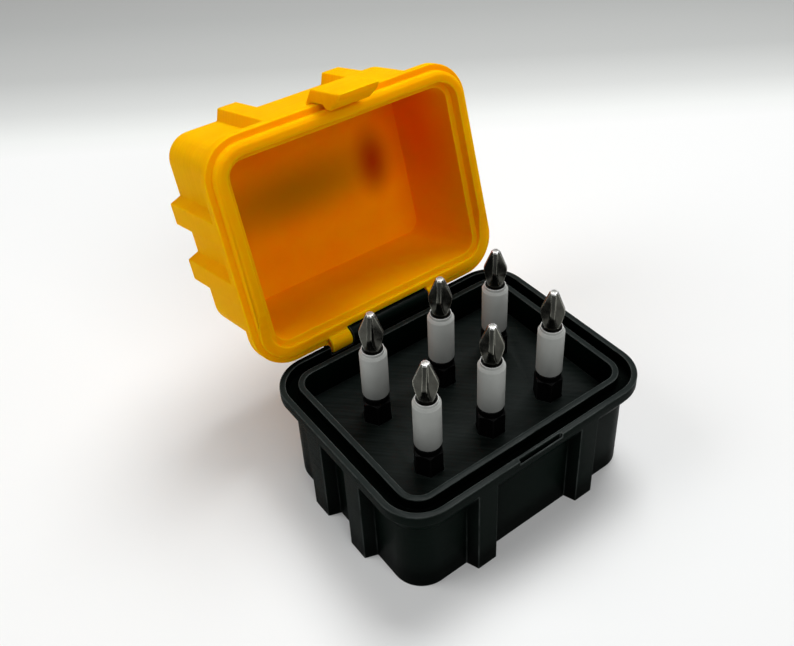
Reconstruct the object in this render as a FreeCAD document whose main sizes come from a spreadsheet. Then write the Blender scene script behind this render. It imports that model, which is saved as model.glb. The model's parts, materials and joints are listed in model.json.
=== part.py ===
import FreeCAD, Part
import math
import os
import Sketcher

# Drill bit case: a small ribbed box with a hinged lid, a snap latch and six bits standing in a tray.
# +X runs along the hinge, the latch side faces -Y and +Z is up.
# The origin is the centre of the underside. The lid is drawn closed and then turned open.

doc = FreeCAD.newDocument("drill_bit_case")
sheet = doc.addObject("Spreadsheet::Sheet", "sizes")

SIZES = [
    ("case_width", 73.5, "flange from left to right"),
    ("case_depth", 58.4, "flange from front to back"),
    ("flange_corner", 10.0, "corner radius of the flange"),
    ("base_height", 28.2, "underside to the base's rim"),
    ("lid_height", 28.9, "base's rim to the lid's top when closed"),
    ("rim_gap", 0.1, "gap between the closed rims"),
    ("base_flange", 2.7, "upright face of the base's flange"),
    ("lid_flange", 2.8, "base's rim to the upper edge of the lid's flange"),
    ("flare", 5.4, "height of the slope between flange and wall"),
    ("wall_inset", 3.0, "flange face to the wall's outer face"),
    ("base_corner", 7.4, "corner radius of the base's wall"),
    ("lid_corner", 6.4, "corner radius of the lid's wall"),
    ("strip", 1.5, "flat strip outside the groove"),
    ("groove_width", 3.0, "groove in the base's rim"),
    ("groove_depth", 3.2, "depth of that groove"),
    ("ridge", 1.5, "flat ridge inside the groove"),
    ("cavity_corner", 4.0, "corner radius of both cavities"),
    ("floor_thickness", 2.0, "base's floor"),
    ("top_thickness", 2.1, "lid's top"),
    ("tongue_height", 2.8, "tongue under the lid's rim"),
    ("tongue_clearance", 0.15, "tongue to each side of the groove"),
    ("tongue_bevel", 0.8, "bevel on the tongue's outer edge"),
    ("swing_height", 1.0, "tongue's height on the hinge side, where it has to swing out"),
    ("swing_reach", 8.6, "how far that low part runs in from the hinge"),
    ("rib_near", 12.7, "front and back ribs, near side of the outer face"),
    ("rib_far", 18.0, "front and back ribs, far side of the outer face"),
    ("side_rib_near", 4.9, "side ribs, near side of the outer face"),
    ("side_rib_far", 10.5, "side ribs, far side of the outer face"),
    ("rib_slant", 1.1, "how far a rib's foot spreads past its outer face"),
    ("knuckle_radius", 2.4, "hinge barrel"),
    ("base_knuckle", 24.2, "length of the base's middle barrel"),
    ("lid_knuckle", 5.7, "length of each barrel on the lid"),
    ("hinge_side_gap", 0.3, "gap beside each barrel"),
    ("hinge_round_gap", 0.35, "gap round each barrel"),
    ("pin_radius", 1.0, "hinge pin"),
    ("pin_clearance", 0.05, "gap round the pin"),
    ("lid_open", 106.0, "angle between closed and open"),
    ("stop_near", 13.3, "near side of each stop behind the hinge"),
    ("stop_width", 4.2, "length of each stop"),
    ("stop_start", 3.3, "hinge line to the start of a stop's top"),
    ("stop_reach", 6.0, "hinge line to its end"),
    ("stop_foot", 12.0, "how far down a stop starts from the rim"),
    ("stop_gap", 0.1, "gap between a stop and the open lid"),
    ("slot_width", 12.6, "latch slot in the base's front"),
    ("slot_reach", 0.8, "how far the slot cuts into the strip"),
    ("slot_depth", 2.3, "depth of the slot behind its lip"),
    ("lip_drop", 1.2, "how far the slot's lip is below the rim"),
    ("lip_thickness", 0.4, "thickness of that lip"),
    ("latch_width", 11.2, "latch tab"),
    ("latch_gap", 0.1, "gap between the tab and the flange"),
    ("latch_stand", 3.7, "how far the tab stands out of the flange"),
    ("latch_root", 5.4, "height above the rim where the tab starts"),
    ("latch_shoulder", 1.3, "height above the rim where the tab is full thickness"),
    ("latch_drop", 12.4, "how far the tab reaches below the rim"),
    ("latch_bevel", 2.0, "slope at the tab's lower edge"),
    ("hook_bite", 0.85, "how far the hook goes in under the flange"),
    ("hook_gap", 0.3, "gap between the tab and the base's flange"),
    ("hook_top", 4.2, "top of the hook below the rim"),
    ("hook_low", 6.1, "lower end of the hook's tip below the rim"),
    ("tray_depth", 7.9, "rim to the tray's face"),
    ("tray_clearance", 0.15, "tray to the base's walls"),
    ("socket_clearance", 0.12, "socket to each flat of a bit"),
    ("column_pitch", 18.4, "bits from left to right"),
    ("row_pitch", 20.2, "bits from front to back"),
    ("row_middle", -1.7, "middle between the two rows"),
    ("stray_shift", 1.3, "how far the back middle socket is off its column"),
    ("bit_flats", 6.35, "hex shank across its flats"),
    ("bit_length", 50.0, "one bit from end to end"),
    ("collar_radius", 3.1, "round collar above the hex"),
    ("collar_length", 1.9, "length of that collar"),
    ("seat_gap", 0.05, "gap under a bit"),
    ("sleeve_radius", 3.23, "white sleeve"),
    ("sleeve_length", 13.7, "length of the sleeve"),
    ("sleeve_slope", 1.1, "height of the slope at the sleeve's top"),
    ("sleeve_mouth", 2.45, "radius of the sleeve's open end"),
    ("sleeve_lip", 0.2, "wall left round that end"),
    ("mouth_depth", 3.0, "depth of the sleeve's open end"),
    ("neck_radius", 2.0, "bit inside the sleeve"),
    ("neck_clearance", 0.05, "sleeve to neck"),
    ("tip_radius", 2.85, "widest place of the driving tip"),
    ("tip_height", 10.3, "driving tip from its start to its end"),
    ("tip_sink", 0.1, "how far the tip starts inside the sleeve"),
    ("tip_end_radius", 0.85, "flat end of the tip"),
    ("flute_top", 0.8, "axis to the bottom of a flute at the tip's end"),
    ("flute_low", 1.5, "axis to the bottom of a flute at the sleeve"),
    ("overrun", 1.0, "how far a cut runs past a face"),
    ("shank_length", "=bit_length - tip_height + tip_sink - sleeve_length - collar_length",
     "hex part of a bit, all that its other parts leave"),
]
for row, (alias, number, note) in enumerate(SIZES, start=1):
    sheet.set(f"A{row}", note)
    sheet.set(f"B{row}", str(number))
    sheet.setAlias(f"B{row}", alias)
doc.recompute()

WORDS = sorted((alias for alias, number, note in SIZES), key=len, reverse=True)


def bound(expression):
    """The expression with every size taken from the sheet."""
    out = ""
    word = ""
    for letter in str(expression) + " ":
        if letter.isalnum() or letter in "_.":
            word += letter
            continue
        out += ("sizes." + word if word in WORDS else word) + letter
        word = ""
    return out.strip()


def value(expression):
    """The expression's number, in millimetres or degrees."""
    found = sheet.evalExpression(bound(expression))
    return float(getattr(found, "Value", found))


def plane_of(body, role):
    return next(item for item in body.Origin.OriginFeatures if item.Role == role)


def sketch_on(body, name, role, height="0"):
    """A sketch on one of the body's own planes, moved along the plane's normal."""
    sketch = body.newObject("Sketcher::SketchObject", name)
    sketch.AttachmentSupport = [(plane_of(body, role), "")]
    sketch.MapMode = "FlatFace"
    sketch.setExpression("AttachmentOffset.Base.z", bound(height))
    return sketch


def hold(sketch, kind, *where):
    """A dimension bound to an expression, which is the last of the arguments."""
    expression = where[-1]
    index = sketch.addConstraint(Sketcher.Constraint(kind, *where[:-1], value(expression)))
    sketch.setExpression(f"Constraints[{index}]", bound(expression))


def outline(sketch, corners):
    """A closed outline of straight edges through corners given as pairs of expressions."""
    first = len(sketch.Geometry)
    count = len(corners)
    points = [FreeCAD.Vector(value(x), value(y), 0) for x, y in corners]
    for n, point in enumerate(points):
        sketch.addGeometry(Part.LineSegment(point, points[(n + 1) % count]), False)
    for n in range(count):
        sketch.addConstraint(Sketcher.Constraint("Coincident", first + n, 2, first + (n + 1) % count, 1))
    for n, (x, y) in enumerate(corners):
        hold(sketch, "DistanceX", -1, 1, first + n, 1, x)
        hold(sketch, "DistanceY", -1, 1, first + n, 1, y)


def rounded_rectangle(sketch, width, depth, corner):
    """A rectangle about the sketch's origin with rounded corners."""
    first = len(sketch.Geometry)
    half_x = value(width) / 2
    half_y = value(depth) / 2
    radius = value(corner)
    quarter = math.pi / 2
    centres = [(1, 1), (-1, 1), (-1, -1), (1, -1)]
    for n, (sx, sy) in enumerate(centres):
        centre = FreeCAD.Vector(sx * (half_x - radius), sy * (half_y - radius), 0)
        circle = Part.Circle(centre, FreeCAD.Vector(0, 0, 1), radius)
        sketch.addGeometry(Part.ArcOfCircle(circle, n * quarter, (n + 1) * quarter), False)
    for n in range(4):
        start = sketch.Geometry[first + n].EndPoint
        end = sketch.Geometry[first + (n + 1) % 4].StartPoint
        sketch.addGeometry(Part.LineSegment(start, end), False)
    for n in range(4):
        line = first + 4 + n
        sketch.addConstraint(Sketcher.Constraint("Tangent", first + n, 2, line, 1))
        sketch.addConstraint(Sketcher.Constraint("Tangent", line, 2, first + (n + 1) % 4, 1))
        hold(sketch, "Radius", first + n, corner)
    for line, kind in ((4, "Horizontal"), (5, "Vertical"), (6, "Horizontal"), (7, "Vertical")):
        sketch.addConstraint(Sketcher.Constraint(kind, first + line))
    hold(sketch, "DistanceY", -1, 1, first + 4, 1, f"({depth}) / 2")
    hold(sketch, "DistanceX", -1, 1, first + 5, 1, f"-({width}) / 2")
    hold(sketch, "DistanceY", -1, 1, first + 6, 1, f"-({depth}) / 2")
    hold(sketch, "DistanceX", -1, 1, first + 7, 1, f"({width}) / 2")


def circle_at(sketch, x, y, radius):
    """A circle about a point given as two expressions."""
    first = len(sketch.Geometry)
    centre = FreeCAD.Vector(value(x), value(y), 0)
    sketch.addGeometry(Part.Circle(centre, FreeCAD.Vector(0, 0, 1), value(radius)), False)
    hold(sketch, "DistanceX", -1, 1, first, 3, x)
    hold(sketch, "DistanceY", -1, 1, first, 3, y)
    hold(sketch, "Radius", first, radius)


def extrude(body, kind, sketch, length, backwards=False, both_ways=False):
    """A pad or a pocket of the sketch, which has to change the body's volume the right way."""
    before = body.Shape.Volume if body.Tip else 0.0
    feature = body.newObject("PartDesign::" + kind, sketch.Name + "_" + kind.lower())
    feature.Profile = sketch
    feature.setExpression("Length", bound(length))
    feature.Reversed = backwards
    if both_ways:
        feature.SideType = "Symmetric"
    sketch.Visibility = False
    doc.recompute()
    return settled(body, feature, before, kind == "Pocket")


def turned(body, kind, sketch):
    """A revolution or a groove of the sketch about its upright axis."""
    before = body.Shape.Volume if body.Tip else 0.0
    feature = body.newObject("PartDesign::" + kind, sketch.Name + "_" + kind.lower())
    feature.Profile = sketch
    feature.ReferenceAxis = (sketch, ["V_Axis"])
    feature.Angle = 360.0
    sketch.Visibility = False
    doc.recompute()
    return settled(body, feature, before, kind == "Groove")


def settled(body, feature, before, removes):
    """The feature, once it has taken material away or added some."""
    after = body.Shape.Volume
    if (after >= before) if removes else (after <= before):
        raise RuntimeError(f"{feature.Name} changes nothing: {before:.3f} to {after:.3f}")
    return feature


def new_body(name):
    body = doc.addObject("PartDesign::Body", name)
    body.Label = name
    doc.recompute()
    return body


# Outlines that base and lid share

def wall_outline(sketch, corner):
    rounded_rectangle(sketch, "case_width - 2 * wall_inset", "case_depth - 2 * wall_inset", corner)


def flange_outline(sketch):
    rounded_rectangle(sketch, "case_width", "case_depth", "flange_corner")


def corner_at(inset):
    """Corner radius of a line that runs round the rim, this far in from the flange's face."""
    return f"max(flange_corner - ({inset}), cavity_corner)"


def inset_outline(sketch, inset):
    """A line that runs round the rim, this far in from the flange's face."""
    width = f"case_width - 2 * ({inset})"
    depth = f"case_depth - 2 * ({inset})"
    rounded_rectangle(sketch, width, depth, corner_at(inset))


def rib_outlines(sketch):
    """Eight ribs: two on each side. Each stands as far out as the flange and spreads towards the wall."""
    for sx in (1, -1):
        for sy in (1, -1):
            foot_y = f"{sy} * (case_depth / 2 - wall_inset - overrun)"
            face_y = f"{sy} * case_depth / 2"
            spread = "rib_slant * (1 + overrun / wall_inset)"
            outline(sketch, [
                (f"{sx} * (rib_near - {spread})", foot_y),
                (f"{sx} * rib_near", face_y),
                (f"{sx} * rib_far", face_y),
                (f"{sx} * (rib_far + {spread})", foot_y),
            ])
            foot_x = f"{sx} * (case_width / 2 - wall_inset - overrun)"
            face_x = f"{sx} * case_width / 2"
            outline(sketch, [
                (foot_x, f"{sy} * (side_rib_near - {spread})"),
                (face_x, f"{sy} * side_rib_near"),
                (face_x, f"{sy} * side_rib_far"),
                (foot_x, f"{sy} * (side_rib_far + {spread})"),
            ])


def flare_between(body, wall_height, flange_height, corner):
    """The slope between the wall's outline and the flange's outline."""
    before = body.Shape.Volume
    wall_sketch = sketch_on(body, body.Name + "_flare_wall", "XY_Plane", wall_height)
    wall_outline(wall_sketch, corner)
    flange_sketch = sketch_on(body, body.Name + "_flare_flange", "XY_Plane", flange_height)
    flange_outline(flange_sketch)
    loft = body.newObject("PartDesign::AdditiveLoft", body.Name + "_flare")
    loft.Profile = wall_sketch
    loft.Sections = [flange_sketch]
    loft.Ruled = True
    for sketch in (wall_sketch, flange_sketch):
        sketch.Visibility = False
    doc.recompute()
    return settled(body, loft, before, False)


HINGE_Y = "case_depth / 2"
BASE_FLANGE_LOW = "base_height - base_flange"
GAP_RADIUS = "knuckle_radius + hinge_round_gap"
LID_KNUCKLE_START = "base_knuckle / 2 + hinge_side_gap"
NOTCH_END = f"{LID_KNUCKLE_START} + lid_knuckle + hinge_side_gap"
CAVITY_INSET = "strip + groove_width + ridge"
SIDES = (("right", 1), ("left", -1))


# Base shell

def add_stops(base):
    """Two stops behind the hinge, on which the open lid leans."""
    fall = "sin(lid_open - 90)"
    run = "cos(lid_open - 90)"
    for side, sx in SIDES:
        prop = sketch_on(base, f"stop_{side}", "YZ_Plane", f"{sx} * stop_near")
        outline(prop, [
            (f"{HINGE_Y} - overrun", "base_height - stop_start - stop_gap"),
            (f"{HINGE_Y} + stop_start / 2", "base_height - stop_start - stop_gap"),
            (f"{HINGE_Y} + stop_start * {run}", f"base_height - stop_start * {fall} - stop_gap"),
            (f"{HINGE_Y} + stop_reach * {run}", f"base_height - stop_reach * {fall} - stop_gap"),
            (HINGE_Y, "base_height - stop_foot"),
            (f"{HINGE_Y} - overrun", "base_height - stop_foot"),
        ])
        extrude(base, "Pad", prop, "stop_width", backwards=sx < 0)


def cut_cavity_and_groove(base):
    """The open inside, and the groove in the rim that takes the lid's tongue."""
    cavity = sketch_on(base, "base_cavity", "XY_Plane", "base_height")
    inset_outline(cavity, CAVITY_INSET)
    extrude(base, "Pocket", cavity, "base_height - floor_thickness")
    groove = sketch_on(base, "base_groove", "XY_Plane", "base_height")
    inset_outline(groove, "strip")
    inset_outline(groove, "strip + groove_width")
    extrude(base, "Pocket", groove, "groove_depth")


def add_base_barrel(base):
    """The hinge's middle barrel, with room beside it for the barrels of the lid."""
    for side, sx in SIDES:
        notch = sketch_on(base, f"hinge_notch_{side}", "YZ_Plane", f"{sx} * base_knuckle / 2")
        circle_at(notch, HINGE_Y, "base_height", GAP_RADIUS)
        extrude(base, "Pocket", notch, f"{NOTCH_END} - base_knuckle / 2", backwards=sx > 0)
    barrel = sketch_on(base, "base_barrel", "YZ_Plane")
    circle_at(barrel, HINGE_Y, "base_height", "knuckle_radius")
    extrude(base, "Pad", barrel, "base_knuckle", both_ways=True)
    bore = sketch_on(base, "base_bore", "YZ_Plane")
    circle_at(bore, HINGE_Y, "base_height", "pin_radius + pin_clearance")
    extrude(base, "Pocket", bore, "base_knuckle + overrun", both_ways=True)


def cut_latch_slot(base):
    """The slot in the front of the rim, deeper behind its lip."""
    for name, near, depth in (("slot_mouth", "0 - overrun", "lip_drop"),
                              ("slot_well", "lip_thickness", "slot_depth")):
        slot = sketch_on(base, name, "XY_Plane", "base_height")
        outline(slot, [
            ("-slot_width / 2", f"{near} - case_depth / 2"),
            ("slot_width / 2", f"{near} - case_depth / 2"),
            ("slot_width / 2", "slot_reach - case_depth / 2"),
            ("-slot_width / 2", "slot_reach - case_depth / 2"),
        ])
        extrude(base, "Pocket", slot, depth)


def make_base():
    """Ribbed wall under a flange, open at the top, with a grooved rim."""
    base = new_body("base_shell")
    wall = sketch_on(base, "base_wall", "XY_Plane")
    wall_outline(wall, "base_corner")
    extrude(base, "Pad", wall, BASE_FLANGE_LOW)
    ribs = sketch_on(base, "base_ribs", "XY_Plane")
    rib_outlines(ribs)
    extrude(base, "Pad", ribs, BASE_FLANGE_LOW)
    flare_between(base, f"{BASE_FLANGE_LOW} - flare", BASE_FLANGE_LOW, "base_corner")
    band = sketch_on(base, "base_band", "XY_Plane", BASE_FLANGE_LOW)
    flange_outline(band)
    extrude(base, "Pad", band, "base_flange")
    add_stops(base)
    cut_cavity_and_groove(base)
    add_base_barrel(base)
    cut_latch_slot(base)
    return base


# Lid shell, drawn closed with the base's rim as its zero

def tongue_outer_edges(lid):
    """The edges round the outside of the tongue's lower face."""
    inset = "strip + tongue_clearance"
    low = value("rim_gap - tongue_height")
    near = value("tongue_clearance")
    corner = value(corner_at(inset))
    flat_x = value(f"case_width / 2 - ({inset})") - corner
    flat_y = value(f"case_depth / 2 - ({inset})") - corner
    found = []
    for n, edge in enumerate(lid.Shape.Edges, start=1):
        box = edge.BoundBox
        middle = edge.valueAt((edge.FirstParameter + edge.LastParameter) / 2)
        reach = math.hypot(max(abs(middle.x) - flat_x, 0), max(abs(middle.y) - flat_y, 0))
        if max(abs(box.ZMax - low), abs(box.ZMin - low), abs(reach - corner)) < near / 2:
            found.append(f"Edge{n}")
    return found


def add_tongue(lid):
    """The tongue under the rim, bevelled outside and low where it swings out of the groove."""
    tongue = sketch_on(lid, "tongue", "XY_Plane", "rim_gap")
    inset_outline(tongue, "strip + tongue_clearance")
    inset_outline(tongue, "strip + groove_width - tongue_clearance")
    pad = extrude(lid, "Pad", tongue, "tongue_height", backwards=True)
    before = lid.Shape.Volume
    edges = tongue_outer_edges(lid)
    bevel = lid.newObject("PartDesign::Chamfer", "tongue_bevel")
    bevel.Base = (pad, edges)
    bevel.setExpression("Size", bound("tongue_bevel"))
    doc.recompute()
    settled(lid, bevel, before, True)
    swing = sketch_on(lid, "tongue_swing", "YZ_Plane")
    slope_end = f"{HINGE_Y} - swing_reach - (tongue_height - swing_height + overrun)"
    outline(swing, [
        (f"{HINGE_Y} + overrun", "rim_gap - swing_height"),
        (f"{HINGE_Y} - swing_reach", "rim_gap - swing_height"),
        (slope_end, "rim_gap - tongue_height - overrun"),
        (f"{HINGE_Y} + overrun", "rim_gap - tongue_height - overrun"),
    ])
    extrude(lid, "Pocket", swing, "case_width", both_ways=True)


def add_lid_barrels(lid):
    """The two outer barrels of the hinge, with room between them for the base's barrel."""
    gap = sketch_on(lid, "lid_hinge_gap", "YZ_Plane")
    circle_at(gap, HINGE_Y, "0", GAP_RADIUS)
    extrude(lid, "Pocket", gap, f"2 * ({LID_KNUCKLE_START})", both_ways=True)
    for side, sx in SIDES:
        barrel = sketch_on(lid, f"lid_barrel_{side}", "YZ_Plane", f"{sx} * ({LID_KNUCKLE_START})")
        circle_at(barrel, HINGE_Y, "0", "knuckle_radius")
        extrude(lid, "Pad", barrel, "lid_knuckle", backwards=sx < 0)
    bore = sketch_on(lid, "lid_bore", "YZ_Plane")
    circle_at(bore, HINGE_Y, "0", "pin_radius + pin_clearance")
    extrude(lid, "Pocket", bore, f"2 * ({NOTCH_END})", both_ways=True)


def make_lid():
    """Ribbed hood above a flange, open below, with the hinge's outer barrels."""
    lid = new_body("lid_shell")
    band = sketch_on(lid, "lid_band", "XY_Plane", "rim_gap")
    flange_outline(band)
    extrude(lid, "Pad", band, "lid_flange - rim_gap")
    wall = sketch_on(lid, "lid_wall", "XY_Plane", "lid_flange")
    wall_outline(wall, "lid_corner")
    extrude(lid, "Pad", wall, "lid_height - lid_flange")
    ribs = sketch_on(lid, "lid_ribs", "XY_Plane", "lid_flange")
    rib_outlines(ribs)
    extrude(lid, "Pad", ribs, "lid_height - lid_flange")
    flare_between(lid, "lid_flange + flare", "lid_flange", "lid_corner")
    cavity = sketch_on(lid, "lid_cavity", "XY_Plane")
    inset_outline(cavity, CAVITY_INSET)
    extrude(lid, "Pocket", cavity, "lid_height - top_thickness", backwards=True)
    add_tongue(lid)
    add_lid_barrels(lid)
    return lid


# Hinge pin and latch tab

def make_pin():
    """A plain pin through all three barrels."""
    pin = new_body("hinge_pin")
    pin_round = sketch_on(pin, "pin_round", "YZ_Plane")
    circle_at(pin_round, HINGE_Y, "base_height", "pin_radius")
    extrude(pin, "Pad", pin_round, f"2 * ({LID_KNUCKLE_START} + lid_knuckle)", both_ways=True)
    return pin


def make_latch():
    """The tab, drawn with the closed lid: its side view, outwards from the flange and up from the rim."""
    latch = new_body("latch_tab")
    latch_side = sketch_on(latch, "latch_side", "YZ_Plane")
    side_view = [
        ("latch_gap", "rim_gap"),
        ("latch_gap", "lid_flange"),
        ("latch_gap - wall_inset * (latch_root - lid_flange) / flare", "latch_root"),
        ("0", "latch_root"),
        ("latch_stand", "latch_shoulder"),
        ("latch_stand", "-latch_drop"),
        ("latch_stand - latch_bevel", "latch_bevel - latch_drop"),
        ("-hook_bite", "-hook_low"),
        ("-hook_bite", "-hook_top"),
        ("hook_gap", "hook_gap + hook_bite - hook_top"),
        ("hook_gap", "rim_gap"),
    ]
    outline(latch_side, [(f"-case_depth / 2 - ({out})", up) for out, up in side_view])
    extrude(latch, "Pad", latch_side, "latch_width", both_ways=True)
    return latch


# Bit tray, back row of bits first, each row from left to right

PLACES = [(row, column) for row in ("back", "front") for column in ("left", "middle", "right")]


def bit_place(row, column):
    shift = "stray_shift" if (row, column) == ("back", "middle") else "0"
    step = {"left": "-column_pitch", "middle": "0", "right": "column_pitch"}[column]
    side = {"back": "+", "front": "-"}[row]
    return f"{step} + {shift}", f"row_middle {side} row_pitch / 2"


def hexagon(sketch, x, y, flats):
    """A hexagon about a point, with its corners to the left and right."""
    half = f"({flats}) / 2"
    corner = f"({flats}) / 2 / cos(30)"
    outline(sketch, [
        (f"{x} + {corner}", y),
        (f"{x} + {corner} / 2", f"{y} + {half}"),
        (f"{x} - {corner} / 2", f"{y} + {half}"),
        (f"{x} - {corner}", y),
        (f"{x} - {corner} / 2", f"{y} - {half}"),
        (f"{x} + {corner} / 2", f"{y} - {half}"),
    ])


def make_tray():
    """A block that fills the base up to its face, with a hex socket for each bit."""
    tray = new_body("bit_tray")
    block = sketch_on(tray, "tray_block", "XY_Plane", "floor_thickness")
    inset_outline(block, f"{CAVITY_INSET} + tray_clearance")
    extrude(tray, "Pad", block, "base_height - tray_depth - floor_thickness")
    sockets = sketch_on(tray, "sockets", "XY_Plane", "base_height - tray_depth")
    for row, column in PLACES:
        place_x, place_y = bit_place(row, column)
        hexagon(sockets, place_x, place_y, "bit_flats + 2 * socket_clearance")
    extrude(tray, "Pocket", sockets, "base_height")
    return tray


# Bits and their sleeves. Each is drawn about its own upright axis with its lower end as zero.
SLEEVE_LOW = "shank_length + collar_length"
SLEEVE_HIGH = f"{SLEEVE_LOW} + sleeve_length"
TIP_LOW = f"{SLEEVE_HIGH} - tip_sink"
TIP_SHARES = [(0.0, 0.70), (0.25, 0.93), (0.42, 1.0), (0.58, 0.99), (0.78, 0.76), (0.93, 0.45)]


def flute(body, name, dx, dy):
    """A square groove along the tip whose bottom comes nearer to the axis towards the end."""
    before = body.Shape.Volume
    wide = "(tip_radius + overrun)"
    sections = []
    for label, height, bottom in (("_end", "bit_length", "flute_top"), ("_root", TIP_LOW, "flute_low")):
        section = sketch_on(body, name + label, "XY_Plane", height)
        outline(section, [
            (f"{dx} * {bottom}", f"{dy} * {bottom}"),
            (f"{dx} * ({bottom} + {wide}) - {dy} * {wide}", f"{dy} * ({bottom} + {wide}) + {dx} * {wide}"),
            (f"{dx} * ({bottom} + {wide}) + {dy} * {wide}", f"{dy} * ({bottom} + {wide}) - {dx} * {wide}"),
        ])
        section.Visibility = False
        sections.append(section)
    groove = body.newObject("PartDesign::SubtractiveLoft", name)
    groove.Profile = sections[0]
    groove.Sections = [sections[1]]
    groove.Ruled = True
    doc.recompute()
    settled(body, groove, before, True)


def make_bit(name):
    """Hex shank, round collar, neck and a four-winged tip."""
    body = new_body(name)
    shank = sketch_on(body, name + "_shank", "XY_Plane")
    hexagon(shank, "0", "0", "bit_flats")
    extrude(body, "Pad", shank, "shank_length")
    shoulder = sketch_on(body, name + "_shoulder", "XZ_Plane")
    outline(shoulder, [
        ("collar_radius", "shank_length + overrun"),
        ("collar_radius", "shank_length"),
        ("collar_radius + overrun", "shank_length - overrun"),
        ("collar_radius + overrun", "shank_length + overrun"),
    ])
    turned(body, "Groove", shoulder)
    round_part = sketch_on(body, name + "_round", "XZ_Plane")
    tip = [(f"{radius} * tip_radius", f"{TIP_LOW} + {rise} * tip_height") for rise, radius in TIP_SHARES]
    outline(round_part, [
        ("0", "shank_length - overrun"),
        ("bit_flats / 2 - overrun", "shank_length - overrun"),
        ("collar_radius", "shank_length"),
        ("collar_radius", SLEEVE_LOW),
        ("neck_radius", SLEEVE_LOW),
        *tip,
        ("tip_end_radius", "bit_length"),
        ("0", "bit_length"),
    ])
    turned(body, "Revolution", round_part)
    for quarter, (dx, dy) in enumerate(((1, 0), (0, 1), (-1, 0), (0, -1)), start=1):
        flute(body, f"{name}_flute_{quarter}", dx, dy)
    return body


def make_sleeve(name):
    """A round sleeve with a thin open mouth above the neck."""
    body = new_body(name)
    section = sketch_on(body, name + "_section", "XZ_Plane")
    outline(section, [
        ("neck_radius + neck_clearance", SLEEVE_LOW),
        ("sleeve_radius", SLEEVE_LOW),
        ("sleeve_radius", f"{SLEEVE_HIGH} - sleeve_slope"),
        ("sleeve_mouth + sleeve_lip", SLEEVE_HIGH),
        ("sleeve_mouth", SLEEVE_HIGH),
        ("sleeve_mouth", f"{SLEEVE_HIGH} - mouth_depth"),
        ("neck_radius + neck_clearance", f"{SLEEVE_HIGH} - mouth_depth"),
    ])
    turned(body, "Revolution", section)
    return body


# Make every piece. Lid and latch are turned open about the hinge, bits stand in their sockets.
make_base()
make_pin()
make_tray()
for piece in (make_lid(), make_latch()):
    piece.Placement = FreeCAD.Placement(
        FreeCAD.Vector(0, 0, value("base_height")),
        FreeCAD.Rotation(FreeCAD.Vector(1, 0, 0), -value("lid_open")),
        FreeCAD.Vector(0, value(HINGE_Y), 0),
    )
for row, column in PLACES:
    place_x, place_y = bit_place(row, column)
    for piece in (make_bit(f"bit_{row}_{column}"), make_sleeve(f"sleeve_{row}_{column}")):
        piece.Placement = FreeCAD.Placement(
            FreeCAD.Vector(value(place_x), value(place_y), value("floor_thickness + seat_gap")),
            FreeCAD.Rotation(),
        )


# Check every object, then write one file for each piece
doc.recompute()
for item in doc.Objects:
    if any(word in item.State for word in ("Invalid", "Error")):
        raise RuntimeError(f"{item.Label} failed: {item.State}")
os.makedirs("parts", exist_ok=True)
for body in (item for item in doc.Objects if item.TypeId == "PartDesign::Body"):
    shape = body.Shape
    if shape.isNull() or not shape.isValid() or not shape.Solids:
        raise RuntimeError(f"{body.Label} has no sound solid")
    shape.exportStep(f"parts/{body.Label}.step")
    box = shape.BoundBox
    print(f"{body.Label}: {len(shape.Solids)} solid, {shape.Volume:.1f} mm3")
    print(f"  x {box.XMin:.2f}..{box.XMax:.2f}, y {box.YMin:.2f}..{box.YMax:.2f}, z {box.ZMin:.2f}..{box.ZMax:.2f}")
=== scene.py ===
import json
from math import cos, pi, radians

import bpy
from mathutils import Matrix, Vector

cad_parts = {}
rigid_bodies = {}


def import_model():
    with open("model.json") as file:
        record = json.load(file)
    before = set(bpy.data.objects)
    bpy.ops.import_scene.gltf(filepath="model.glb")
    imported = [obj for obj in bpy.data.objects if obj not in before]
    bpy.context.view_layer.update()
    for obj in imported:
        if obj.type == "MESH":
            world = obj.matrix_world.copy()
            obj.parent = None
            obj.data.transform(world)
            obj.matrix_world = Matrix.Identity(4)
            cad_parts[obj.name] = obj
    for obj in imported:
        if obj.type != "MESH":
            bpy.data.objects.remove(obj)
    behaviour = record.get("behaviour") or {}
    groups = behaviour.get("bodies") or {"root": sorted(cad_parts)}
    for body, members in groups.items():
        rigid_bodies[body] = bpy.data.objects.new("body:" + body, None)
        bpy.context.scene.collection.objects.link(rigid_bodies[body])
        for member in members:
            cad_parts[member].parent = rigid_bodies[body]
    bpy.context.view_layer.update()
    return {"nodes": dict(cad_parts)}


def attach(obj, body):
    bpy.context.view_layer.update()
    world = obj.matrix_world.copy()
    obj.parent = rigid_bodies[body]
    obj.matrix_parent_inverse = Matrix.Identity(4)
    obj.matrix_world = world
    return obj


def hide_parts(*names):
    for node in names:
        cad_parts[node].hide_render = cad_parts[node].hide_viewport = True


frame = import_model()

MM = 0.001

# Sizes of the lid and its hinge, in metres
HINGE = Vector((0, 29.2, 28.2)) * MM
LID_OPEN = radians(106)
# The rod ends a little inside the outer barrels
HINGE_ROD_SHARE = 0.95
# On the closed lid, from the hinge line: where the tongue gets low, and how far that slope is drawn out
TONGUE_STEP_START = -8.6 * MM
TONGUE_STEP_END = -10.6 * MM
TONGUE_LOW_FACE = -0.95 * MM
TONGUE_STRETCH = 4.5

# Sizes of a bit with its sleeve, along its own axis from the lower end, in metres
BIT_LENGTH = 50.0 * MM
SHANK_FLATS = 6.35 * MM
SHANK_LENGTH = 24.2 * MM
COLLAR_RADIUS = 3.1 * MM
SLEEVE_LOW = 26.1 * MM
SLEEVE_HIGH = 39.8 * MM
SLEEVE_RADIUS = 3.23 * MM
MOUTH_RADIUS = 2.45 * MM
NECK_RADIUS = 2.0 * MM
TIP_LOW = 39.7 * MM
TIP_RADIUS = 2.85 * MM
TIP_END_DEPTH = 0.25 * MM
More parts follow.
